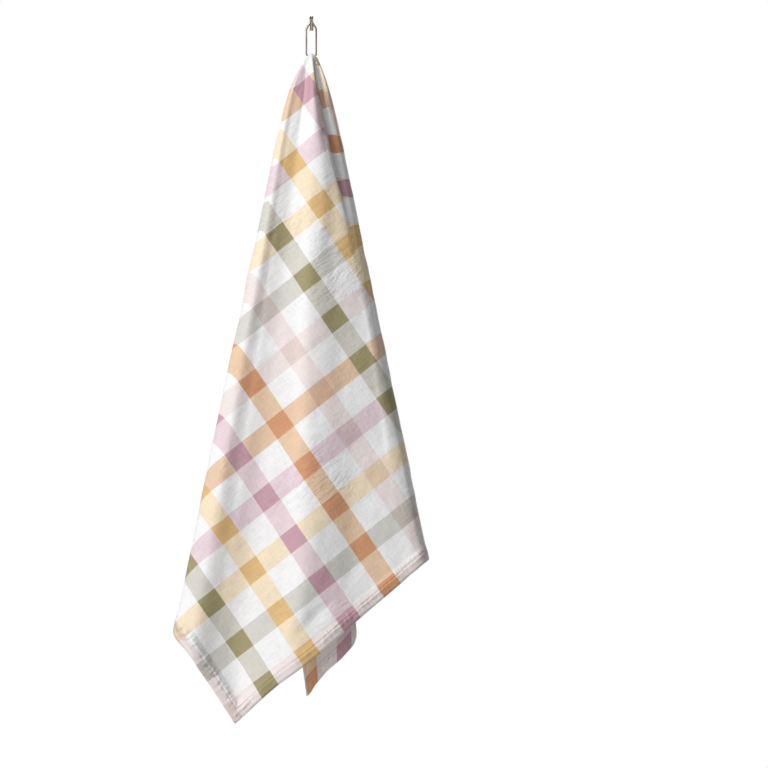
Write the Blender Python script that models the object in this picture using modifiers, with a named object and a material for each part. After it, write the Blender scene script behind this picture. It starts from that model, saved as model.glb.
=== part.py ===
"""Tea towel hanging from a bent wire hook.

Metres, +Z up. The front of the towel faces -Y, and +X is to its right. The origin is the underside of
the hook's crook, where the hook hangs on a rail. The sizes and tables below are in millimetres, measured
from the plane of the hook's legs, and place() brings them to the origin.
"""
import bpy
import bmesh
from math import cos, exp, pi, sin
from mathutils import Vector

MM = 0.001

# Hook. One steel wire: a long closed bend below, two legs, and both ends turned back over the rail.
WIRE_RADIUS = 0.9
LEG_HALF_GAP = 4.9         # half the distance between the legs, at their middle
LEG_FOOT_Z = -29.3         # centre height of the lower bend
LEG_TOP_Z = -5.0
NECK_HALF_GAP = 1.3        # the wires run side by side over the crook
NECK_Z = 0.5
CROOK_RADIUS = 4.9         # centre line of the crook, which goes back over a rail
CROOK_Z = 2.0
CROOK_END_Z = -6.0
BEND_STEPS = 10
RAIL_SEAT = Vector((0.0, CROOK_RADIUS, CROOK_Z + CROOK_RADIUS - WIRE_RADIUS))

# Towel. Flat, it is 500 by 700 mm, gathered at one point near a corner.
CLOTH_THICK = 1.4
SHOULDER_DROP = 22.0       # height over which a fold swings out from the gather
DROP_STEPS = (0.0, 0.025, 0.06, 0.12, 0.21, 0.33, 0.46, 0.6, 0.74, 0.87, 0.96, 1.0)

# One row for each column of the cloth, from the free edge of the right wing, round the front panel,
# to the free edge of the rear wing.
#   top_*   where the column leaves the gather
#   out_*   how far it swings out within the shoulder
#   foot_*  where it ends at the hem or side edge
#   bow     how far its middle stands back (+) or forward (-)
#   tip     1 where the cloth has a corner
#   bow_x   how far its middle stands to the right, where it does
FOLD_COLUMNS = ("name", "top_x", "top_y", "top_z", "out_x", "out_y", "foot_x", "foot_y", "foot_z", "bow", "tip",
                "bow_x")
FOLD_ROWS = (
    ("right_corner",     -1.5,  3.0, -39.0,  -9.0,  0.5,   -5.0,  24.0, -674.0,   4.0, 1, -25.0),
    ("right_wing_a",     -0.8,  3.0, -38.5,  -6.0,  1.0,   14.0,  15.0, -649.5,  -2.0, 0, -8.0),
    ("right_wing_b",      0.2,  3.0, -38.5,  -2.0,  1.5,   33.0,  14.0, -632.0,   3.0, 0),
    ("right_turn",        1.0,  3.0, -38.5,   1.0,  1.5,   44.0,  24.0, -615.0,   7.0, 0),
    ("right_wing_c",      1.6,  3.2, -38.5,   3.0,  1.5,   40.0,  38.0, -578.0,   4.0, 0),
    ("right_wing_d",     2.2,  3.2, -38.5,   5.0,  1.5,   62.0,  33.0, -552.0,  -4.0, 0),
    ("right_wing_e",     3.2,  3.0, -38.5,   8.5,  1.5,   94.0,  26.0, -540.0,   2.0, 0),
    ("right_fold_back",   5.4,  2.2, -38.2,   7.2,  8.0,  112.0,  22.0, -536.0,   2.0, 0),
    ("right_fold_nose",   5.9, -0.3, -37.6,   7.7,  8.0,  116.5,  11.0, -535.5,   3.0, 0),
    ("right_fold_front",  5.2, -2.7, -34.4,   6.5,  6.7,  112.0,   2.0, -539.5,   3.0, 0),
    ("strip_ridge",       3.9, -3.2, -32.8,   2.3,  5.6,  105.0,  -1.0, -545.5,   2.0, 0, 5.0),
    ("valley",            2.2, -2.9, -32.0,  -3.0,  3.5,   97.0,  -1.0, -552.0,  -1.0, 0, 8.0),
    ("panel_ridge",       0.8, -3.0, -31.6,  -3.0, -6.0,   87.0,  -2.0, -561.0,   3.0, 0, 8.0),
    ("panel_a",          -0.8, -3.0, -31.6,   1.0, -6.5,   58.0,  -3.0, -585.5,   0.0, 0),
    ("panel_b",          -2.2, -2.9, -32.0,   4.0, -4.5,   -2.0, -16.0, -636.5,  -2.0, 0),
    ("panel_c",          -3.8, -3.1, -32.6,   0.8, -1.0,  -38.0,  -7.0, -664.0,   0.0, 0),
    ("front_corner",     -5.0, -3.0, -33.4,   1.4,  0.7,  -76.5,   4.0, -700.0,  -1.0, 1),
    ("panel_d",          -5.7, -2.7, -34.8,  -6.5, -0.6, -100.0,   0.0, -663.0,   0.0, 0),
    ("left_fold_front",  -6.0, -1.4, -36.8, -10.3, -1.5, -122.0,  -5.0, -629.0,  -1.0, 0),
    ("left_fold_nose",   -6.2,  1.5, -37.8, -12.5,  1.0, -137.5,  12.0, -606.0,   2.0, 0),
    ("left_fold_back",   -5.6,  4.4, -38.2, -11.2,  3.0, -127.0,  30.0, -578.0,   3.0, 0),
    ("rear_wing_a",      -3.4,  5.4, -38.5, -11.0,  3.5,  -90.0,  44.0, -540.0,   3.0, 0),
    ("rear_wing_b",     -1.8,  5.4, -38.5,  -6.0,  3.5,  -48.0,  40.0, -505.0,  -2.0, 0),
    ("rear_wing_c",     -0.2,  5.4, -38.5,   0.0,  3.5,    0.0,  48.0, -475.0,   2.0, 0),
    ("rear_wing_d",      1.6,  5.4, -38.5,   5.0,  3.5,   42.0,  45.0, -452.0,  -2.0, 0),
    ("rear_fold_front",  3.4,  5.8, -38.5,   9.0,  3.5,   76.0,  44.0, -438.0,   2.0, 0),
    ("rear_fold_nose",   4.0,  7.0, -38.5,  10.5,  4.5,   84.0,  52.0, -436.0,   2.0, 0),
    ("rear_fold_back",   3.4,  8.2, -38.0,   9.0,  6.0,   72.0,  61.0, -442.0,   3.0, 0),
    ("last_wing_a",      2.0,  8.4, -38.0,   4.0,  6.5,   34.0,  65.0, -450.0,   4.0, 0),
    ("last_wing_b",      0.4,  8.4, -38.0,  -2.0,  6.5,   -8.0,  60.0, -452.0,  -2.0, 0),
    ("last_wing_c",     -1.2,  8.4, -38.0,  -7.0,  6.5,  -46.0,  66.0, -444.0,   2.0, 0),
    ("last_corner",     -2.4,  8.4, -38.5, -12.0,  6.0,  -78.0,  60.0, -424.0,   2.0, 1),
    ("last_edge",       -3.0,  8.4, -39.0, -15.0,  5.5,  -58.0,  50.0, -275.0,   0.0, 0),
)

# The four middle columns of the front pass over the wire, between its legs, and fall behind as a tail.
STRAP_COLUMNS = ("valley", "panel_ridge", "panel_a", "panel_b")
CREST_ROWS = (             # the strap's course over the gather: depth and height of its middle surface
    (0.0, -31.2),
    (3.6, -31.0),
    (7.4, -32.0),
    (10.4, -34.6),
)
TAIL_STEPS = (0.05, 0.14, 0.3, 0.5, 0.75, 1.0)
TAIL_COLUMNS = ("top_x", "out_x", "out_y", "foot_x", "foot_y", "foot_z", "tip")
TAIL_ROWS = (              # one row for each strap column, right to left
    (2.1,   9.0,  6.0,  35.0, 40.0, -148.0, 0),
    (0.7,   3.0,  9.0,  15.0, 52.0, -196.0, 0),
    (-0.7, -3.0,  7.0, -10.0, 46.0, -222.0, 1),
    (-2.1, -9.0,  7.0, -33.0, 48.0, -172.0, 0),
)

CLOTH_COLOR = (0.86, 0.80, 0.76, 1.0)
STEEL_COLOR = (0.55, 0.54, 0.52, 1.0)


def clear_scene():
    for old in list(bpy.data.objects):
        bpy.data.objects.remove(old, do_unlink=True)


def make_material(name, color, roughness, metallic):
    material = bpy.data.materials.new(name)
    material.use_nodes = True
    shader = material.node_tree.nodes["Principled BSDF"]
    shader.inputs["Base Color"].default_value = color
    shader.inputs["Roughness"].default_value = roughness
    shader.inputs["Metallic"].default_value = metallic
    return material


def add_to(collection, obj, material):
    collection.objects.link(obj)
    obj.data.materials.clear()
    obj.data.materials.append(material)
    return obj


def place(point):
    """A point of the tables, brought to the origin in metres."""
    return (point - RAIL_SEAT) * MM


def swing(drop):
    """Share of the shoulder's reach gained after a drop of this many millimetres."""
    return 1.0 - exp(-drop / SHOULDER_DROP)


def column_point(row, step):
    """Point of a column at a share of its way from the gather to its foot, in millimetres."""
    drop = (row["top_z"] - row["foot_z"]) * step
    out = swing(drop)
    rest_x = row["foot_x"] - row["top_x"] - row["out_x"]
    rest_y = row["foot_y"] - row["top_y"] - row["out_y"]
    x = row["top_x"] + row["out_x"] * out + rest_x * step
    x += row.get("bow_x", 0.0) * sin(pi * step)
    y = row["top_y"] + row["out_y"] * out + rest_y * step
    y += row.get("bow", 0.0) * sin(pi * step)
    return Vector((x, y, row["top_z"] - drop))


def build_cloth(collection, material):
    """The towel: a coarse cage of columns and steps, smoothed, then given its thickness."""
    folds = [dict(zip(FOLD_COLUMNS, row)) for row in FOLD_ROWS]
    tails = [dict(zip(TAIL_COLUMNS, row)) for row in TAIL_ROWS]
    cage = bmesh.new()
    creases = cage.verts.layers.float.new("crease_vert")
    tips = []
    grid = []
    for row in folds:
        column = [cage.verts.new(place(column_point(row, step))) for step in DROP_STEPS]
        if row["tip"]:
            tips.append(column[-1])
        grid.append(column)
    for left, right in zip(grid[1:], grid[:-1]):
        for low in range(1, len(DROP_STEPS)):
            cage.faces.new((right[low - 1], left[low - 1], left[low], right[low]))

    names = [row["name"] for row in folds]
    strap = [[grid[names.index(name)][0]] for name in STRAP_COLUMNS]
    crest_y, crest_z = CREST_ROWS[-1]
    for column, tail in zip(strap, tails):
        for depth, height in CREST_ROWS:
            column.append(cage.verts.new(place(Vector((tail["top_x"], depth, height)))))
        tail.update(top_y=crest_y, top_z=crest_z)
        for step in TAIL_STEPS:
            column.append(cage.verts.new(place(column_point(tail, step))))
        if tail["tip"]:
            tips.append(column[-1])
    for right, left in zip(strap[:-1], strap[1:]):
        for up in range(1, len(right)):
            cage.faces.new((right[up - 1], right[up], left[up], left[up - 1]))

    for corner in tips:
        corner[creases] = 1.0
    bmesh.ops.recalc_face_normals(cage, faces=cage.faces)
    mesh = bpy.data.meshes.new("towel_cloth")
    cage.to_mesh(mesh)
    cage.free()
    cloth = add_to(collection, bpy.data.objects.new("towel_cloth", mesh), material)
    smooth = cloth.modifiers.new("drape", "SUBSURF")
    smooth.levels = smooth.render_levels = 1
    thick = cloth.modifiers.new("thickness", "SOLIDIFY")
    thick.thickness = CLOTH_THICK * MM
    thick.offset = 0.0
    thick.use_even_offset = False
    mesh.shade_smooth()
    return cloth


def hook_route():
    """Centre line of the wire, from one end behind the rail to the other, in millimetres."""
    half = [Vector((NECK_HALF_GAP, 2.0 * CROOK_RADIUS, CROOK_END_Z))]
    for i in range(BEND_STEPS + 1):
        turn = pi * i / BEND_STEPS
        depth = CROOK_RADIUS * (1.0 + cos(turn))
        half.append(Vector((NECK_HALF_GAP, depth, CROOK_Z + CROOK_RADIUS * sin(turn))))
    half.append(Vector((NECK_HALF_GAP + 0.3, 0.0, NECK_Z)))
    half.append(Vector((LEG_HALF_GAP - 0.8, 0.0, LEG_TOP_Z + 1.2)))
    half.append(Vector((LEG_HALF_GAP, 0.0, LEG_TOP_Z - 0.8)))
    half.append(Vector((LEG_HALF_GAP, 0.0, LEG_FOOT_Z + 8.0)))
    for i in range(BEND_STEPS):
        turn = 0.5 * pi * i / BEND_STEPS
        half.append(Vector((LEG_HALF_GAP * cos(turn), 0.0, LEG_FOOT_Z - LEG_HALF_GAP * sin(turn))))
    other = [Vector((-p.x, p.y, p.z)) for p in reversed(half)]
    return half + [Vector((0.0, 0.0, LEG_FOOT_Z - LEG_HALF_GAP))] + other


def build_hook(collection, material):
    curve = bpy.data.curves.new("wire_hook", "CURVE")
    curve.dimensions = "3D"
    curve.bevel_depth = WIRE_RADIUS * MM
    curve.bevel_resolution = 2
    curve.use_fill_caps = True
    route = hook_route()
    spline = curve.splines.new("POLY")
    spline.points.add(len(route) - 1)
    for point, stop in zip(spline.points, route):
        point.co = (*place(stop), 1.0)
    return add_to(collection, bpy.data.objects.new("wire_hook", curve), material)


def main():
    clear_scene()
    collection = bpy.data.collections.new("Tea towel on hook")
    bpy.context.scene.collection.children.link(collection)
    cotton = make_material("woven_cotton", CLOTH_COLOR, 0.9, 0.0)
    steel = make_material("polished_steel_wire", STEEL_COLOR, 0.25, 1.0)
    build_cloth(collection, cotton)
    build_hook(collection, steel)


main()
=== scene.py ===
# Checked cotton tea towel hung from a bent wire hook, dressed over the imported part, in metres.
# The tables are in millimetres from the plane of the hook's legs. toFrame brings them to the part's frame.
import math
import bpy
import numpy as np
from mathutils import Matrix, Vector


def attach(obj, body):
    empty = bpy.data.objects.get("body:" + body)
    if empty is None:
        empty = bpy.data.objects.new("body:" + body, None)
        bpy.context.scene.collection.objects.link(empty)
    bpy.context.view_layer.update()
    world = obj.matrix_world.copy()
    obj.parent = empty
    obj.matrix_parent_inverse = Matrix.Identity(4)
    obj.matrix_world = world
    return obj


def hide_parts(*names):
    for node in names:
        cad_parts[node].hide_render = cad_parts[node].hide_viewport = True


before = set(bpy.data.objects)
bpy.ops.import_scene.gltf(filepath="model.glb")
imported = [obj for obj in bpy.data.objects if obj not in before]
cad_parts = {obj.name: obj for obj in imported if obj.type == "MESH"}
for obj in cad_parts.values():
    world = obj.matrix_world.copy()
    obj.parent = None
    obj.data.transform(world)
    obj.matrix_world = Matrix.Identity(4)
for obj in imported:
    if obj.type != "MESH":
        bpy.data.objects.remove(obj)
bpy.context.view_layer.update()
scene = bpy.context.scene
mm = 0.001
railSeat = np.array([0.0, 4.9, 6.0])  # the crook's underside, which is the frame's origin

cloth = {
    "gatherFlat": (429.0, 515.0),  # the point of the flat towel that lies over the wire
    "thickness": 0.9,
    "hemThickness": 2.1,  # the turned hem, pressed flat
    "hemWidth": 11.0,
    "hemEase": 3.0,  # over which the hem thins to the cloth
    "shoulderDrop": 22.0,  # height over which a fold swings out from the gather
    "rows": 178,
    "rowGrading": 1.35,  # rows lie closer together near the gather
    "tailSteps": 60,
    "cornerSharp": (0.86, 0.14),  # share of the drop where corners start to sharpen, and over how much
    "edgeStride": 6,  # every sixth row is enough to measure the distance to an edge
}

# One row for each main fold, from the free edge of the right wing, round the front, to the free edge behind.
# top: where the fold leaves the gather; out: its swing within the shoulder; foot: its end at the hem;
# bow: how far its middle stands back; flatTop and flat: its two ends on the flat towel;
# cells: mesh columns to the next fold;
# bowX: how far its middle stands to the right, where it does.
foldColumns = ("topX", "topY", "topZ", "outX", "outY", "footX", "footY", "footZ", "bow",
               "flatTopX", "flatTopY", "flatX", "flatY", "cells", "bowX")
foldRows = (
    (-1.5, 3.0, -39.0, -9.0, 0.5, -5.0, 24.0, -674.0, 4.0, 500, 515, 500, 0, 4, -25.0),  # right corner
    (-1.3, 3.0, -38.9, -8.4, 0.6, -0.5, 16.0, -667.5, 3.0, 495, 515, 466, 0, 8, -20.0),
    (-0.8, 3.0, -38.5, -6.0, 1.0, 14.0, 15.0, -649.5, -2.0, 480, 515, 434, 0, 8, -8.0),
    (0.2, 3.0, -38.5, -2.0, 1.5, 33.0, 14.0, -632.0, 3.0, 460, 515, 401, 0, 7),
    (1.0, 3.0, -38.5, 1.0, 1.5, 44.0, 24.0, -615.0, 7.0, 445, 515, 386, 0, 8),
    (1.6, 3.2, -38.5, 3.0, 1.5, 40.0, 38.0, -578.0, 4.0, 430, 510, 352, 0, 8),
    (2.2, 3.2, -38.5, 5.0, 1.5, 62.0, 33.0, -552.0, -4.0, 429, 505, 322, 0, 8),
    (3.2, 3.0, -38.5, 8.5, 1.5, 94.0, 26.0, -540.0, 2.0, 429, 500, 292, 0, 7),
    (5.4, 2.2, -38.2, 7.2, 8.0, 112.0, 22.0, -536.0, 2.0, 429, 495, 275, 0, 6),
    (5.9, -0.3, -37.6, 7.7, 8.0, 116.5, 11.0, -535.5, 3.0, 429, 490, 264, 0, 6),
    (5.2, -2.7, -34.4, 6.5, 6.7, 112.0, 2.0, -539.5, 3.0, 429, 487, 253, 0, 6),
    (3.9, -3.2, -32.8, 2.3, 5.6, 105.0, -1.0, -545.5, 2.0, 429, 487, 243, 0, 7, 5.0),
    (2.2, -2.9, -32.0, -3.0, 3.5, 97.0, -1.0, -552.0, -1.0, 429, 487, 232, 0, 8, 8.0),
    (0.8, -3.0, -31.6, -3.0, -6.0, 87.0, -2.0, -561.0, 3.0, 429, 487, 218, 0, 11, 8.0),
    (-0.8, -3.0, -31.6, 1.0, -6.5, 58.0, -3.0, -585.5, 0.0, 429, 487, 180, 0, 13),
    (-2.2, -2.9, -32.0, 4.0, -4.5, -2.0, -16.0, -636.5, -2.0, 429, 487, 108, 0, 13),
    (-3.8, -3.1, -32.6, 0.8, -1.0, -38.0, -7.0, -664.0, 0.0, 429, 487, 52, 0, 9),
    (-5.0, -3.0, -33.4, 1.4, 0.7, -76.5, 4.0, -700.0, -1.0, 429, 487, 0, 0, 12),  # front corner
    (-5.7, -2.7, -34.8, -6.5, -0.6, -100.0, 0.0, -663.0, 0.0, 429, 487, 0, 44, 10),
    (-6.0, -1.4, -36.8, -10.3, -1.5, -122.0, -5.0, -629.0, -1.0, 429, 487, 0, 85, 8),
    (-6.2, 1.5, -37.8, -12.5, 1.0, -137.5, 12.0, -606.0, 2.0, 429, 490, 0, 118, 7),
    (-5.6, 4.4, -38.2, -11.2, 3.0, -122.0, 30.0, -577.0, 3.0, 429, 495, 0, 152, 9),
    (-3.4, 5.4, -38.5, -11.0, 3.5, -90.0, 44.0, -540.0, 3.0, 429, 500, 0, 212, 9),
    (-1.8, 5.4, -38.5, -6.0, 3.5, -48.0, 40.0, -505.0, -2.0, 429, 505, 0, 285, 9),
    (-0.2, 5.4, -38.5, 0.0, 3.5, 0.0, 48.0, -475.0, 2.0, 429, 510, 0, 352, 8),
    (1.6, 5.4, -38.5, 5.0, 3.5, 42.0, 45.0, -452.0, -2.0, 429, 515, 0, 412, 7),
    (3.4, 5.8, -38.5, 9.0, 3.5, 76.0, 44.0, -438.0, 2.0, 429, 520, 0, 459, 5),
    (4.0, 7.0, -38.5, 10.5, 4.5, 84.0, 52.0, -436.0, 2.0, 428, 530, 0, 478, 5),
    (3.4, 8.2, -38.0, 9.0, 6.0, 72.0, 61.0, -442.0, 3.0, 426, 545, 0, 500, 7),
    (2.0, 8.4, -38.0, 4.0, 6.5, 34.0, 65.0, -450.0, 4.0, 422, 565, 0, 550, 7),
    (0.4, 8.4, -38.0, -2.0, 6.5, -8.0, 60.0, -452.0, -2.0, 412, 610, 0, 604, 7),
    (-1.2, 8.4, -38.0, -7.0, 6.5, -46.0, 66.0, -444.0, 2.0, 400, 655, 0, 652, 7),
    (-2.4, 8.4, -38.5, -12.0, 6.0, -78.0, 60.0, -424.0, 2.0, 388, 690, 0, 700, 12),  # last corner
    (-3.0, 8.4, -39.0, -15.0, 5.5, -58.0, 50.0, -275.0, 0.0, 383, 700, 152, 700, 0),  # top hem
)

# The strap goes up from four of the folds, over the wire between its legs, and falls behind as a tail.
strapFolds = (12, 13, 14, 15)
crestRows = ((0.0, -31.2), (3.6, -31.0), (7.4, -32.0), (10.4, -34.6))  # depth and height
tailColumns = ("topX", "outX", "outY", "footX", "footY", "footZ", "flatX", "flatY")
tailRows = (
    (2.1, 9.0, 6.0, 35.0, 40.0, -148.0, 500, 600),
    (0.7, 3.0, 9.0, 15.0, 52.0, -196.0, 500, 660),
    (-0.7, -3.0, 7.0, -10.0, 46.0, -222.0, 500, 700),
    (-2.1, -9.0, 7.0, -33.0, 48.0, -172.0, 440, 700),
)

cornerFolds = (17, 32)  # inner folds that end at a corner of the towel, where its edge turns


def toFrame(points):
    return (np.asarray(points, float) - railSeat) * mm


panel = {
    "repeat": 51.0,  # a stripe and its gap
    "offset": (0.07, -0.06),  # stripe and gap counts at the corner of the flat towel
    # a place on the front (x, z), the two counts there, and what they gain for each mm right and down
    "front": {"at": (-21.5, -376.0), "counts": (4.4125, 4.2668),
              "right": (0.015853, -0.012578), "down": (-0.0107327, -0.01603)},
    # right of the valley, down to its foot, a narrow strip has its own
    "strip": {"at": (22.5, -120.3), "counts": (9.0, 8.0),
              "right": (0.002, -0.0057), "down": (-0.0234, -0.0207)},
    # the valley's line, from the top down
    "valley": ((2.5, -39.0), (4.5, -59.0), (8.5, -80.0), (12.0, -98.0), (15.5, -113.0), (17.5, -130.0),
               (24.0, -156.0), (30.0, -175.0), (36.5, -201.0), (42.5, -228.0), (50.5, -252.0)),
    "valleyBlend": 1.5,  # mm over which one becomes the other
    "stripFoot": (-236.0, -208.0),  # heights between which the strip ends
    "frontFolds": (7, 9, 19, 21),  # the front's map fades in over the first two, and out over the last two
    "rimFolds": (8, 10),
    "rimStripe": 7.0,  # the cream stripe along the right rim, counted from the hem
    "rimHeights": (-128.0, -124.0, -100.0, -60.0),  # it narrows on the way down
    "rimCells": (-20.0, 1.0, 3.0, 7.0),  # how many mesh columns past the fold it reaches there
    "cornerTake": 0.5,  # behind the hem the check loses this share near the corner, which widens it
    "cornerStart": 440.0,  # from here on the flat towel's width
    "hemTake": 0.075,
    "hemTakeAt": 0.1,  # the stripe count where that is most
    "hemTakeReach": 0.35,
}


def checkFlat(x, z):
    # flat position on the towel, in mm, of what the front shows at x and z of the tables
    lefts, heights = np.array(panel["valley"])[::-1].T
    foot, top = panel["stripFoot"]
    strip = np.clip((x - np.interp(z, heights, lefts)) / panel["valleyBlend"] + 0.5, 0.0, 1.0)
    strip = strip * np.clip((z - foot) / (top - foot), 0.0, 1.0)
    spot = []
    for k in (0, 1):
        count = 0.0
        for part, share in ((panel["front"], 1.0 - strip), (panel["strip"], strip)):
            atX, atZ = part["at"]
            right, down = part["right"][k], part["down"][k]
            count = count + share * (part["counts"][k] + right * (x - atX) + down * (atZ - z))
        if k == 0:
            near = np.exp(-((count - panel["hemTakeAt"]) / panel["hemTakeReach"]) ** 2)
            count = count - panel["hemTake"] * near
        spot.append((count - panel["offset"][k]) * panel["repeat"])
    return np.stack(spot, axis=-1)


def spline(knots, values, at, corners=(), sharp=0.0):
    # a smooth curve through a table of values, one row a knot; it may break at corners, where sharp is 1
    knots, values, at = np.asarray(knots, float), np.asarray(values, float), np.asarray(at, float)
    slopes = np.gradient(values, knots, axis=0)
    before, after = slopes.copy(), slopes.copy()
    for k in corners:
        came = (values[k] - values[k - 1]) / (knots[k] - knots[k - 1])
        goes = (values[k + 1] - values[k]) / (knots[k + 1] - knots[k])
        before[k] = slopes[k] * (1.0 - sharp) + came * sharp
        after[k] = slopes[k] * (1.0 - sharp) + goes * sharp
    seg = np.clip(np.searchsorted(knots, at, side="right") - 1, 0, len(knots) - 2)
    gap = (knots[seg + 1] - knots[seg])
    t = ((at - knots[seg]) / gap)
    t, gap = t[:, None], gap[:, None]
    a, b, da, db = values[seg], values[seg + 1], after[seg] * gap, before[seg + 1] * gap
    return (2*t**3 - 3*t**2 + 1) * a + (t**3 - 2*t**2 + t) * da + (3*t**2 - 2*t**3) * b + (t**3 - t**2) * db


def softNoise(x, y, size, seed):
    # smooth noise from -1 to 1 on the flat towel, with lumps of the given size in mm
    cells, middle = 96, 40.0
    grid = np.random.default_rng(seed).uniform(-1.0, 1.0, (cells, cells))
    gx, gy = x / size + middle, y / size + middle
    ix, iy = np.floor(gx).astype(int), np.floor(gy).astype(int)
    tx, ty = gx - ix, gy - iy
    tx, ty = tx * tx * (3 - 2 * tx), ty * ty * (3 - 2 * ty)
    at = lambda i, j: grid[np.mod(i, cells), np.mod(j, cells)]
    low = at(ix, iy) * (1 - tx) + at(ix + 1, iy) * tx
    high = at(ix, iy + 1) * (1 - tx) + at(ix + 1, iy + 1) * tx
    return low * (1 - ty) + high * ty


def fallLine(row, steps):
    drop = (row["topZ"] - row["footZ"]) * steps
    out = 1.0 - np.exp(-drop / cloth["shoulderDrop"])
    restX = row["footX"] - row["topX"] - row["outX"]
    restY = row["footY"] - row["topY"] - row["outY"]
    x = row["topX"] + row["outX"] * out + restX * steps + row.get("bowX", 0.0) * np.sin(math.pi * steps)
    y = row["topY"] + row["outY"] * out + restY * steps + row.get("bow", 0.0) * np.sin(math.pi * steps)
    return np.stack([x, y, row["topZ"] - drop], axis=-1)


def makeColumns(rows, lines, flats, cells):
    # fine columns between the folds; lines is folds x steps x 3
    knots = np.cumsum([0] + list(cells[:-1]))
    at = np.arange(knots[-1] + 1)
    count = lines.shape[1]
    begins, over = cloth["cornerSharp"]
    sharp = np.repeat(np.clip((steps - begins) / over, 0.0, 1.0), 3)
    shape = spline(knots, lines.reshape(len(lines), -1), at, cornerFolds, sharp).reshape(len(at), count, 3)
    # the feet lie on straight edges between the corners, so they are joined straight
    flat = np.stack([np.interp(at, knots, column) for column in flats.T], axis=-1)
    return knots, shape, flat


print("cloth: folds")
folds = [dict(zip(foldColumns, row)) for row in foldRows]
steps = np.linspace(0.0, 1.0, cloth["rows"] + 1) ** cloth["rowGrading"]
lines = np.array([fallLine(row, steps) for row in folds])
flatEnds = np.array([[row[key] for key in ("flatTopX", "flatTopY", "flatX", "flatY")] for row in folds])
knots, body, ends = makeColumns(folds, lines, flatEnds, [row["cells"] for row in folds])
lengths = np.linalg.norm(np.diff(body, axis=1), axis=2)
share = np.concatenate([np.zeros((len(body), 1)), np.cumsum(lengths, axis=1)], axis=1)
share = (share / share[:, -1:])[:, :, None]
gather = np.array(cloth["gatherFlat"])
bodyFlat = ends[:, None, :2] * (1.0 - share) + ends[:, None, 2:] * share
# the front has its own map of the check, which eases into the flat towel's round the folds
at = np.arange(len(body))
frontShare = np.interp(at, [knots[i] for i in panel["frontFolds"]], [0.0, 1.0, 1.0, 0.0])
frontShare = (frontShare * frontShare * (3.0 - 2.0 * frontShare))[:, None, None]
bodyCheck = bodyFlat * (1.0 - frontShare) + checkFlat(body[..., 0], body[..., 2]) * frontShare
# at the top a cream stripe runs along the right rim
rimStart, rimEnd = (knots[i] for i in panel["rimFolds"])
rimEdge = rimEnd + np.interp(body[..., 2], panel["rimHeights"], panel["rimCells"])
rimShare = (at[:, None] > rimStart) & (at[:, None] < rimEdge)
rimCount = (panel["rimStripe"] - panel["offset"][1]) * panel["repeat"]
bodyCheck[..., 1] += (rimCount - bodyCheck[..., 1]) * rimShare
beyond = np.clip(bodyFlat[..., 0] - panel["cornerStart"], 0.0, None)
bodyCheck[..., 0] -= panel["cornerTake"] * beyond * (1.0 - frontShare[..., 0])
bodyFeet = bodyFlat[:, -1]

# the strap and its tail, on the same fine columns as the folds that they continue
first, last = knots[strapFolds[0]], knots[strapFolds[-1]]
tails = [dict(zip(tailColumns, row)) for row in tailRows]
tailSteps = np.linspace(0.0, 1.0, cloth["tailSteps"] + 1)[1:]
tailLines = []
for row in tails:
    row.update(topY=crestRows[-1][0], topZ=crestRows[-1][1])
    crest = [(row["topX"], y, z) for y, z in crestRows]
    tailLines.append(np.concatenate([crest, fallLine(row, tailSteps)]))
tailKnots = [knots[i] - first for i in strapFolds]
tailAt = np.arange(last - first + 1)
tailLines = np.array(tailLines)
tail = spline(tailKnots, tailLines.reshape(len(tails), -1), tailAt).reshape(len(tailAt), -1, 3)
tailFeet = np.array([[row["flatX"], row["flatY"]] for row in tails])
tailFeet = np.stack([np.interp(tailAt, tailKnots, tailFeet[:, k]) for k in (0, 1)], axis=-1)
tailStart = body[first:last + 1, 0][:, None, :]
tailPath = np.concatenate([tailStart, tail], axis=1)
tailLengths = np.linalg.norm(np.diff(tailPath, axis=1), axis=2)
tailShare = np.cumsum(tailLengths, axis=1)
tailShare /= tailShare[:, -1:]
tailTops = bodyFlat[first:last + 1, 0][:, None, :]
tailFlat = tailTops + (tailFeet[:, None, :] - tailTops) * tailShare[:, :, None]
checkTops = bodyCheck[first:last + 1, 0][:, None, :]
tailCheck = checkTops + (tailFeet[:, None, :] - checkTops) * tailShare[:, :, None]


def normalsOf(grid):
    du = np.gradient(grid, axis=0)
    dv = np.gradient(grid, axis=1)
    n = np.cross(du, dv)
    return n / np.maximum(np.linalg.norm(n, axis=2, keepdims=True), 1e-9)


def pushOut(grid, amount):
    return grid + normalsOf(grid) * amount[:, :, None]


# folds and creases of the front: depth (+ a trough, - a ridge), half width, and its course in x and z
creases = (
    (-3.0, 5.0, ((9.5, -38.0), (14.0, -56.0), (19.0, -82.0))),
    (3.2, 3.6, ((6.0, -46.0), (8.5, -73.0), (12.0, -103.0), (16.0, -128.0))),
    (-2.6, 7.0, ((4.5, -80.0), (11.5, -136.0), (13.5, -181.0), (10.5, -220.0))),
    (5.0, 19.0, ((-92.0, -572.0), (-85.0, -622.0), (-79.0, -662.0))),
    (1.2, 9.0, ((40.5, -450.0), (39.0, -536.0), (33.0, -584.0))),
    (-2.0, 12.0, ((2.0, -520.0), (-13.0, -570.0), (-24.0, -610.0), (-29.0, -650.0))),
    (2.0, 11.0, ((14.0, -560.0), (4.0, -600.0), (-4.0, -636.0))),
    (1.6, 5.0, ((-20.0, -616.0), (6.0, -590.0), (26.0, -574.0))),
    (1.4, 8.0, ((-44.0, -230.0), (-62.0, -330.0), (-76.0, -430.0), (-88.0, -510.0))),
    (0.8, 2.2, ((-2.4, -38.0), (-6.0, -66.0), (-11.0, -104.0))),
    (0.7, 2.0, ((-0.4, -40.0), (-1.6, -74.0), (-2.4, -110.0))),
)


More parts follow.
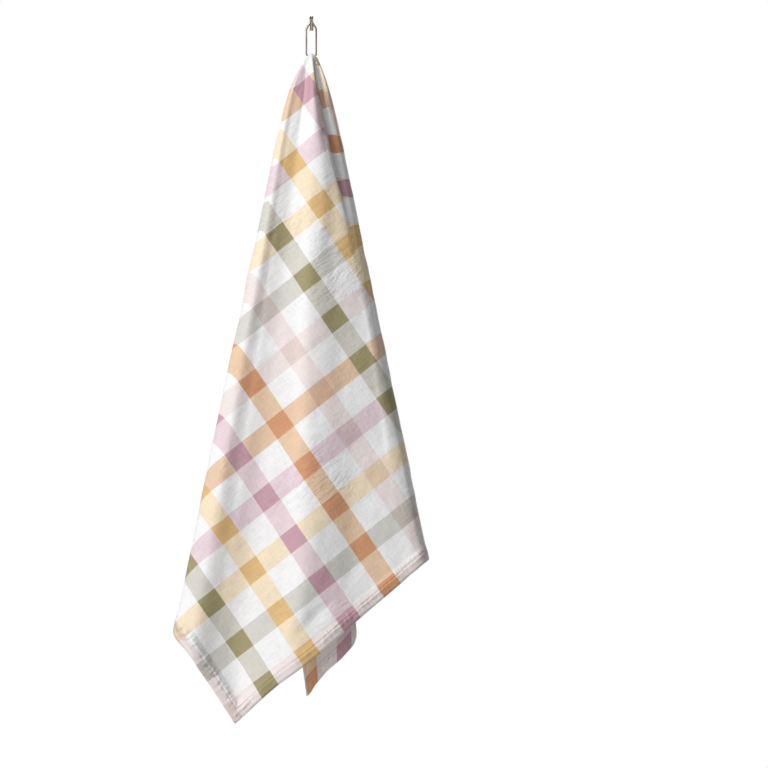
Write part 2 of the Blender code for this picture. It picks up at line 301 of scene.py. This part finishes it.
def alongLine(x, z, course):
    # distance to a line through points, and the share of the line passed there
    best, passed = np.full(x.shape, 1e9), np.zeros(x.shape)
    course = np.array(course)
    legs = np.linalg.norm(np.diff(course, axis=0), axis=1)
    done = 0.0
    for p, q, leg in zip(course[:-1], course[1:], legs):
        t = np.clip(((x - p[0]) * (q[0] - p[0]) + (z - p[1]) * (q[1] - p[1])) / leg ** 2, 0.0, 1.0)
        far = np.hypot(x - p[0] - t * (q[0] - p[0]), z - p[1] - t * (q[1] - p[1]))
        passed = np.where(far < best, (done + t * leg) / legs.sum(), passed)
        best = np.minimum(best, far)
        done += leg
    return best, passed


unevenness = {
    "creaseEnds": 0.35,  # a crease's depth at its ends, as a share of its middle's
    "fanTop": -26.0,  # height that the fan's lines run down from
    "fanDepth": 1.3,
    "fanTurn": 22.0,  # noise mm for each degree round the gather
    "fanRun": 0.5,  # and for each mm away from it
    "fanSize": 90.0,
    "fanSeed": 11,
    "fanGrows": 200.0,  # distance from the gather over which it grows
    "crumple": ((0.8, 34.0, 3), (0.35, 13.0, 5)),  # depth, size and seed
    "crumpleGrows": 160.0,
}

bent = np.zeros(body.shape[:2])
endDepth = unevenness["creaseEnds"]
for depth, width, course in creases:
    far, passed = alongLine(body[..., 0], body[..., 2], course)
    bent += depth * np.exp(-(far / width) ** 2) * (endDepth + (1.0 - endDepth) * np.sin(math.pi * passed))
# and a slight unevenness that runs down from the gather
fromX, fromZ = body[..., 0], np.maximum(unevenness["fanTop"] - body[..., 2], 1.0)
fan, reach = np.degrees(np.arctan2(fromX, fromZ)), np.hypot(fromX, fromZ)
fan, run = fan * unevenness["fanTurn"], reach * unevenness["fanRun"]
noise = softNoise(fan, run, unevenness["fanSize"], unevenness["fanSeed"])
bent += unevenness["fanDepth"] * noise * np.clip(reach / unevenness["fanGrows"], 0.0, 1.0)
body[..., 1] += bent * frontShare[..., 0]

# soft crumple that grows away from the gather
fade = np.clip(np.linalg.norm(bodyFlat - gather, axis=2) / unevenness["crumpleGrows"], 0.0, 1.0)
crumple = sum(depth * softNoise(bodyFlat[..., 0], bodyFlat[..., 1], size, seed)
              for depth, size, seed in unevenness["crumple"])
body = pushOut(body, crumple * fade)

# distance to the cut edge, on the flat towel
stride = cloth["edgeStride"]
edgeRun = np.concatenate([bodyFlat[0, ::stride], bodyFeet, bodyFlat[-1, ::-stride]])
tailRun = np.concatenate([tailFlat[0, ::stride], tailFeet, tailFlat[-1, ::-stride]])


def edgeDistance(points, run):
    best = np.full(points.shape[:-1], 1e9)
    for p, q in zip(run[:-1], run[1:]):
        side = q - p
        long = max(float(side @ side), 1e-9)
        t = np.clip(((points - p) @ side) / long, 0.0, 1.0)
        best = np.minimum(best, np.linalg.norm(points - p - t[..., None] * side, axis=-1))
    return best


bodyEdge = edgeDistance(bodyFlat, edgeRun)
tailEdge = edgeDistance(tailFlat, tailRun)

print("cloth: mesh")
rowsDown, tailDown = body.shape[1], tail.shape[1]
points = np.concatenate([body.reshape(-1, 3), tail.reshape(-1, 3)])
checkSpots = np.concatenate([bodyCheck.reshape(-1, 2), tailCheck.reshape(-1, 2)])
edges = np.concatenate([bodyEdge.ravel(), tailEdge.ravel()])
faces = []
for i in range(len(body) - 1):
    for j in range(rowsDown - 1):
        a = i * rowsDown + j
        b = a + rowsDown
        faces.append((a, b, b + 1, a + 1))
base = body.shape[0] * rowsDown
for i in range(len(tail) - 1):
    a, b = (first + i) * rowsDown, (first + i + 1) * rowsDown
    c, d = base + i * tailDown, base + (i + 1) * tailDown
    faces.append((a, c, d, b))
    for j in range(tailDown - 1):
        faces.append((c + j, c + j + 1, d + j + 1, d + j))
mesh = bpy.data.meshes.new("tea_towel")
mesh.from_pydata(toFrame(points).tolist(), [], faces)
mesh.update()
uv = mesh.uv_layers.new(name="flatTowel")
corner = np.empty(len(mesh.loops), int)
mesh.loops.foreach_get("vertex_index", corner)
uv.data.foreach_set("uv", (checkSpots[corner] * mm).ravel())
towel = bpy.data.objects.new("tea_towel", mesh)
scene.collection.objects.link(towel)
hemAttribute = mesh.attributes.new("hemDistance", "FLOAT", "POINT")
hemAttribute.data.foreach_set("value", edges)
ease = cloth["hemEase"]
hemShare = 1.0 - np.clip((edges - cloth["hemWidth"] + ease / 2) / ease, 0.0, 1.0)
weight = cloth["thickness"] / cloth["hemThickness"]
group = towel.vertex_groups.new(name="hem")
for i, h in enumerate(hemShare):
    group.add([i], float(weight + (1.0 - weight) * h), "REPLACE")
thick = towel.modifiers.new("thickness", "SOLIDIFY")
thick.thickness = cloth["hemThickness"] * mm
thick.offset = 0.0
thick.vertex_group = "hem"
bpy.ops.object.select_all(action="DESELECT")
towel.select_set(True)
bpy.context.view_layer.objects.active = towel
bpy.ops.object.modifier_apply(modifier="thickness")
bpy.ops.object.shade_smooth()
print("cloth: triangles", sum(len(p.vertices) - 2 for p in towel.data.polygons))


def linear(hexColor):
    value = [int(hexColor[i:i + 2], 16) / 255.0 for i in (1, 3, 5)]
    return tuple(v / 12.92 if v <= 0.04045 else ((v + 0.055) / 1.055) ** 2.4 for v in value) + (1.0,)


def addNode(tree, kind, settings=(), links=()):
    node = tree.nodes.new(kind)
    for key, value in dict(settings).items():
        if isinstance(key, int) or key in node.inputs:
            node.inputs[key].default_value = value
        else:
            setattr(node, key, value)
    for key, source in dict(links).items():
        tree.links.new(source, node.inputs[key])
    return node


def newMaterial(name):
    material = bpy.data.materials.new(name)
    material.use_nodes = True
    tree = material.node_tree
    return material, tree, tree.nodes["Principled BSDF"]


checks = {
    "stripeShare": 0.41,
    "stripeBlur": 0.008,
    "paleShare": 0.2,  # the first of the five colours stays pale where it crosses another
    "white": "#FBFAFA",
    "paleCross": "#F2EAE8",
    "full": ("#EAD9D6", "#A79C74", "#E6C086", "#CEA4B0", "#DCA078"),
    "tintA": ("#F5E9E6", "#DCD8CE", "#FBE8CA", "#EDD9DF", "#EFCFB0"),
    "tintB": ("#F5E9E6", "#DCDAD3", "#FBE9CC", "#EDD9E0", "#EFCFB2"),
}
smoothStep = {"interpolation_type": "SMOOTHSTEP"}


def stripes(tree, coordinate, offset):
    # whether a stripe is there, and how far along the five colours it is
    counting = {"operation": "MULTIPLY_ADD", 1: 1000.0 / panel["repeat"], 2: offset}
    pos = addNode(tree, "ShaderNodeMath", counting, {0: coordinate}).outputs[0]
    shifted = addNode(tree, "ShaderNodeMath", {"operation": "ADD", 1: 0.5}, {0: pos}).outputs[0]
    part = addNode(tree, "ShaderNodeMath", {"operation": "FRACT"}, {0: shifted}).outputs[0]
    away = addNode(tree, "ShaderNodeMath", {"operation": "SUBTRACT", 1: 0.5}, {0: part}).outputs[0]
    away = addNode(tree, "ShaderNodeMath", {"operation": "ABSOLUTE"}, {0: away}).outputs[0]
    half, blur = checks["stripeShare"] / 2, checks["stripeBlur"]
    rim = {**smoothStep, 1: half + blur, 2: half - blur, 3: 0.0, 4: 1.0}
    mask = addNode(tree, "ShaderNodeMapRange", rim, {0: away}).outputs[0]
    fifth = addNode(tree, "ShaderNodeMath", {"operation": "DIVIDE", 1: 5.0}, {0: shifted}).outputs[0]
    fifth = addNode(tree, "ShaderNodeMath", {"operation": "FRACT"}, {0: fifth}).outputs[0]
    return mask, fifth


def ramp(tree, value, colors):
    node = addNode(tree, "ShaderNodeValToRGB", {}, {0: value})
    band = node.color_ramp
    band.interpolation = "CONSTANT"
    for i in range(2, len(colors)):
        band.elements.new(i / len(colors))
    for i, color in enumerate(colors):
        band.elements[i].position = i / len(colors)
        band.elements[i].color = linear(color)
    return node.outputs[0]


def blendColor(tree, factor, low, high, kind="MIX"):
    node = tree.nodes.new("ShaderNodeMix")
    node.data_type = "RGBA"
    node.blend_type = kind
    for socket, value in ((0, factor), (6, low), (7, high)):
        if isinstance(value, (tuple, float)):
            node.inputs[socket].default_value = value
        else:
            tree.links.new(value, node.inputs[socket])
    return node.outputs[2]


# Yarn-dyed cotton, plain weave, washed: matt, with slubby yarns and a soft nap that gives a little sheen.
cotton, tree, shader = newMaterial("wovenYarnDyedCotton")
flatMap = addNode(tree, "ShaderNodeUVMap", {"uv_map": "flatTowel"}).outputs[0]
split = addNode(tree, "ShaderNodeSeparateXYZ", {}, {0: flatMap})
maskA, fifthA = stripes(tree, split.outputs[0], panel["offset"][0])
maskB, fifthB = stripes(tree, split.outputs[1], panel["offset"][1])
color = blendColor(tree, maskB, linear(checks["white"]), ramp(tree, fifthB, checks["tintB"]))
color = blendColor(tree, maskA, color, ramp(tree, fifthA, checks["tintA"]))
both = addNode(tree, "ShaderNodeMath", {"operation": "MULTIPLY"}, {0: maskA, 1: maskB}).outputs[0]
full = ramp(tree, fifthA, checks["full"])
pale = blendColor(tree, 1.0, ramp(tree, fifthB, checks["tintB"]), linear(checks["paleCross"]), "MULTIPLY")
isFirst = {"operation": "LESS_THAN", 1: checks["paleShare"]}
isPale = addNode(tree, "ShaderNodeMath", isFirst, {0: fifthA}).outputs[0]
color = blendColor(tree, both, color, blendColor(tree, isPale, full, pale))
yarns, slubs = [], []
for direction, stretch in (("X", (90.0, 700.0, 1.0)), ("Y", (700.0, 90.0, 1.0))):
    wave = {"wave_type": "BANDS", "bands_direction": direction, "Scale": 55.0, "Distortion": 0.6}
    wave.update({"Detail": 1.0, "Detail Scale": 2.0})
    yarns.append(addNode(tree, "ShaderNodeTexWave", wave, {0: flatMap}).outputs["Fac"])
    slubMap = addNode(tree, "ShaderNodeMapping", {"Scale": stretch}, {0: flatMap}).outputs[0]
    slubs.append(addNode(tree, "ShaderNodeTexNoise", {"Scale": 1.0, "Detail": 3.0}, {0: slubMap}).outputs[0])
weave = addNode(tree, "ShaderNodeMath", {"operation": "MULTIPLY"}, enumerate(yarns)).outputs[0]
slub = addNode(tree, "ShaderNodeMath", {"operation": "ADD"}, enumerate(slubs)).outputs[0]
shade = addNode(tree, "ShaderNodeMapRange", {1: 0.6, 2: 1.4, 3: 0.90, 4: 1.06}, {0: slub}).outputs[0]
grey = addNode(tree, "ShaderNodeCombineColor", {}, {0: shade, 1: shade, 2: shade}).outputs[0]
color = blendColor(tree, 1.0, color, grey, "MULTIPLY")
tree.links.new(color, shader.inputs["Base Color"])
lumps = {"Scale": 60.0, "Detail": 5.0, "Roughness": 0.6}
rumple = addNode(tree, "ShaderNodeTexNoise", lumps, {0: flatMap}).outputs[0]
joined = {"operation": "MULTIPLY_ADD", 1: 0.25}
height = addNode(tree, "ShaderNodeMath", joined, {0: weave, 2: slub}).outputs[0]
bump = addNode(tree, "ShaderNodeBump", {"Strength": 0.5, "Distance": 0.0004}, {"Height": height}).outputs[0]
layers = {"Height": rumple, "Normal": bump}
bump = addNode(tree, "ShaderNodeBump", {"Strength": 0.6, "Distance": 0.002}, layers).outputs[0]
# washed-in crinkles, stronger in some places, which run across the towel
crinkleMap = addNode(tree, "ShaderNodeMapping", {"Scale": (70.0, 210.0, 1.0)}, {0: flatMap}).outputs[0]
lumps = {"Scale": 1.0, "Detail": 3.0, "Distortion": 0.8}
crinkles = addNode(tree, "ShaderNodeTexNoise", lumps, {0: crinkleMap}).outputs[0]
patches = addNode(tree, "ShaderNodeTexNoise", {"Scale": 11.0, "Detail": 1.0}, {0: flatMap}).outputs[0]
patches = addNode(tree, "ShaderNodeMapRange", {1: 0.5, 2: 0.68, 3: 0.15, 4: 1.0}, {0: patches}).outputs[0]
crinkles = addNode(tree, "ShaderNodeMath", {"operation": "MULTIPLY"}, {0: crinkles, 1: patches}).outputs[0]
layers = {"Height": crinkles, "Normal": bump}
bump = addNode(tree, "ShaderNodeBump", {"Strength": 0.4, "Distance": 0.0035}, layers).outputs[0]
# the sewn hem draws the cloth into short puckers square to the edge
edge = addNode(tree, "ShaderNodeAttribute", {"attribute_name": "hemDistance"}).outputs["Fac"]
grows = {**smoothStep, 1: 3.0, 2: 9.0, 3: 0.15, 4: 1.0}
grows = addNode(tree, "ShaderNodeMapRange", grows, {0: edge}).outputs[0]
fades = {**smoothStep, 1: 18.0, 2: 9.5, 3: 0.0, 4: 1.0}
fades = addNode(tree, "ShaderNodeMapRange", fades, {0: edge}).outputs[0]
zone = addNode(tree, "ShaderNodeMath", {"operation": "MULTIPLY"}, {0: grows, 1: fades}).outputs[0]
# the place across the towel's width tells the long hems from the short ones, in metres
middle = addNode(tree, "ShaderNodeMath", {"operation": "SUBTRACT", 1: 0.25}, {0: split.outputs[0]}).outputs[0]
middle = addNode(tree, "ShaderNodeMath", {"operation": "ABSOLUTE"}, {0: middle}).outputs[0]
atSide = addNode(tree, "ShaderNodeMath", {"operation": "GREATER_THAN", 1: 0.226}, {0: middle}).outputs[0]
kinds = []
for stretch in ((190.0, 40.0, 1.0), (45.0, 130.0, 1.0)):
    hemMap = addNode(tree, "ShaderNodeMapping", {"Scale": stretch}, {0: flatMap}).outputs[0]
    kinds.append(addNode(tree, "ShaderNodeTexNoise", {"Scale": 1.0, "Detail": 2.0}, {0: hemMap}).outputs[0])
puckers = addNode(tree, "ShaderNodeMix", {}, {0: atSide, 2: kinds[0], 3: kinds[1]}).outputs[0]
puckers = addNode(tree, "ShaderNodeMath", {"operation": "MULTIPLY"}, {0: puckers, 1: zone}).outputs[0]
pull = addNode(tree, "ShaderNodeMapRange", {3: 0.8, 4: 1.9}, {0: atSide}).outputs[0]
puckers = addNode(tree, "ShaderNodeMath", {"operation": "MULTIPLY"}, {0: puckers, 1: pull}).outputs[0]
# the seam is a narrow groove between the hem and the cloth
seam = addNode(tree, "ShaderNodeMath", {"operation": "SUBTRACT", 1: 9.6}, {0: edge}).outputs[0]
seam = addNode(tree, "ShaderNodeMath", {"operation": "ABSOLUTE"}, {0: seam}).outputs[0]
groove = {**smoothStep, 1: 0.0, 2: 1.8, 3: -0.16, 4: 0.0}
seam = addNode(tree, "ShaderNodeMapRange", groove, {0: seam}).outputs[0]
puckers = addNode(tree, "ShaderNodeMath", {"operation": "ADD"}, {0: puckers, 1: seam}).outputs[0]
layers = {"Height": puckers, "Normal": bump}
bump = addNode(tree, "ShaderNodeBump", {"Strength": 0.8, "Distance": 0.004}, layers).outputs[0]
tree.links.new(bump, shader.inputs["Normal"])
shader.inputs["Roughness"].default_value = 0.9
shader.inputs["Sheen Weight"].default_value = 0.25
shader.inputs["Sheen Roughness"].default_value = 0.5
shader.inputs["IOR"].default_value = 1.45
towel.data.materials.append(cotton)
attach(towel, "root")
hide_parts("towel_cloth")

hook = {
    "wire": 0.9,  # radius
    "legX": 4.9,
    "footZ": -29.3,
    "shoulderZ": -5.0,
    "shoulderIn": 0.8,  # the bend into the leg: how far in, up and down from its middle
    "shoulderUp": 1.2,
    "shoulderDown": 0.8,
    "neckX": 1.0,
    "neckZ": 0.5,
    "neckOut": 0.3,
    "crook": 4.9,  # radius of the bend at the top
    "crookZ": 2.0,
    "endZ": -6.0,
    "bendSteps": 24,
}


def hookRoute():
    # centre line from one end behind, over the crook, down one leg, round the foot and back
    crook = hook["crook"]
    half = [(hook["neckX"], 2 * crook, hook["endZ"])]
    for turn in np.linspace(0.0, math.pi, hook["bendSteps"]):
        half.append((hook["neckX"], crook * (1 + math.cos(turn)), hook["crookZ"] + crook * math.sin(turn)))
    half.append((hook["neckX"] + hook["neckOut"], 0.0, hook["neckZ"]))
    half.append((hook["legX"] - hook["shoulderIn"], 0.0, hook["shoulderZ"] + hook["shoulderUp"]))
    half.append((hook["legX"], 0.0, hook["shoulderZ"] - hook["shoulderDown"]))
    half.append((hook["legX"], 0.0, hook["footZ"]))
    for turn in np.linspace(0.0, math.pi / 2, hook["bendSteps"])[1:-1]:
        half.append((hook["legX"] * math.cos(turn), 0.0, hook["footZ"] - hook["legX"] * math.sin(turn)))
    other = [(-x, y, z) for x, y, z in reversed(half)]
    return toFrame(half + [(0.0, 0.0, hook["footZ"] - hook["legX"])] + other)


print("hook: wire")
route = hookRoute()
wireCurve = bpy.data.curves.new("hook_wire", "CURVE")
wireCurve.dimensions = "3D"
wireCurve.bevel_depth = hook["wire"] * mm
wireCurve.bevel_resolution = 6
wireCurve.use_fill_caps = True
run = wireCurve.splines.new("POLY")
run.points.add(len(route) - 1)
for point, stop in zip(run.points, route):
    point.co = (*stop, 1.0)
wire = bpy.data.objects.new("hook_wire", wireCurve)
scene.collection.objects.link(wire)
bpy.ops.object.select_all(action="DESELECT")
wire.select_set(True)
bpy.context.view_layer.objects.active = wire
bpy.ops.object.convert(target="MESH")
bpy.ops.object.shade_smooth()

# Drawn steel wire, nickel plated and handled: soft bright metal, duller and browner in places.
steel, tree, shader = newMaterial("drawnSteelWire")
where = addNode(tree, "ShaderNodeTexCoord").outputs["Object"]
marks = addNode(tree, "ShaderNodeTexNoise", {"Scale": 900.0, "Detail": 3.0}, {0: where}).outputs[0]
dull = addNode(tree, "ShaderNodeTexNoise", {"Scale": 120.0, "Detail": 2.0}, {0: where}).outputs[0]
rough = addNode(tree, "ShaderNodeMapRange", {1: 0.3, 2: 0.7, 3: 0.42, 4: 0.52}, {0: marks}).outputs[0]
tarnish = addNode(tree, "ShaderNodeMapRange", {1: 0.4, 2: 0.65, 3: 0.0, 4: 1.0}, {0: dull}).outputs[0]
tree.links.new(blendColor(tree, tarnish, linear("#A39E96"), linear("#8A7C6A")), shader.inputs["Base Color"])
tree.links.new(rough, shader.inputs["Roughness"])
worn = addNode(tree, "ShaderNodeBump", {"Strength": 0.05, "Distance": 0.00003}, {"Height": marks}).outputs[0]
tree.links.new(worn, shader.inputs["Normal"])
shader.inputs["Metallic"].default_value = 1.0
wire.data.materials.clear()
wire.data.materials.append(steel)
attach(wire, "root")
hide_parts("wire_hook")

studio = {
    "floorZ": -1.15,
    "worldLight": 0.14,  # the camera itself sees plain white
    "aim": (0.0, 0.0, -0.35),
    "distance": 3.0,
    "halfView": 0.384,  # half the picture's width at the towel
    "halfSensor": 18.0,
}

print("stage: floor, light and camera")
floorMesh = bpy.data.meshes.new("studio_floor")
floorCorners = [(x, y, studio["floorZ"]) for x, y in ((-1, -1), (1, -1), (1, 1), (-1, 1))]
floorMesh.from_pydata(floorCorners, [], [(0, 1, 2, 3)])
floor = bpy.data.objects.new("studio_floor", floorMesh)
scene.collection.objects.link(floor)
paint, tree, shader = newMaterial("paleMattPaint")
shader.inputs["Base Color"].default_value = linear("#F4F4F4")
shader.inputs["Roughness"].default_value = 0.9
floor.data.materials.append(paint)

world = bpy.data.worlds.new("studio")
scene.world = world
world.use_nodes = True
sky = world.node_tree
glow = sky.nodes["Background"]
seen = addNode(sky, "ShaderNodeLightPath").outputs["Is Camera Ray"]
power = addNode(sky, "ShaderNodeMapRange", {3: studio["worldLight"], 4: 1.0}, {0: seen}).outputs[0]
sky.links.new(power, glow.inputs[1])
glow.inputs[0].default_value = (1.0, 1.0, 1.0, 1.0)
scene.view_settings.view_transform = "Standard"


def addLight(name, at, aim, size, power):
    data = bpy.data.lights.new(name, "AREA")
    data.shape = "DISK"
    data.size = size
    data.energy = power
    light = bpy.data.objects.new(name, data)
    light.location = at
    light.rotation_mode = "QUATERNION"
    light.rotation_quaternion = (Vector(aim) - Vector(at)).to_track_quat("-Z", "Y")
    scene.collection.objects.link(light)


addLight("key_softbox", (-2.0, -1.65, 1.3), studio["aim"], 0.9, 78.0)
addLight("front_softbox", (-0.2, -3.4, 0.5), studio["aim"], 1.5, 18.0)
addLight("rear_softbox", (1.6, 2.6, 0.5), studio["aim"], 1.4, 60.0)

cameraData = bpy.data.cameras.new("photo_view")
cameraData.sensor_width = 2.0 * studio["halfSensor"]
cameraData.lens = studio["halfSensor"] / (studio["halfView"] / studio["distance"])
cameraData.clip_start, cameraData.clip_end = 0.05, 60.0
camera = bpy.data.objects.new("photo_view", cameraData)
camera.location = (0.0725, -studio["distance"], -0.366)
camera.rotation_euler = (math.pi / 2, 0.0, 0.0)
scene.collection.objects.link(camera)
scene.camera = camera
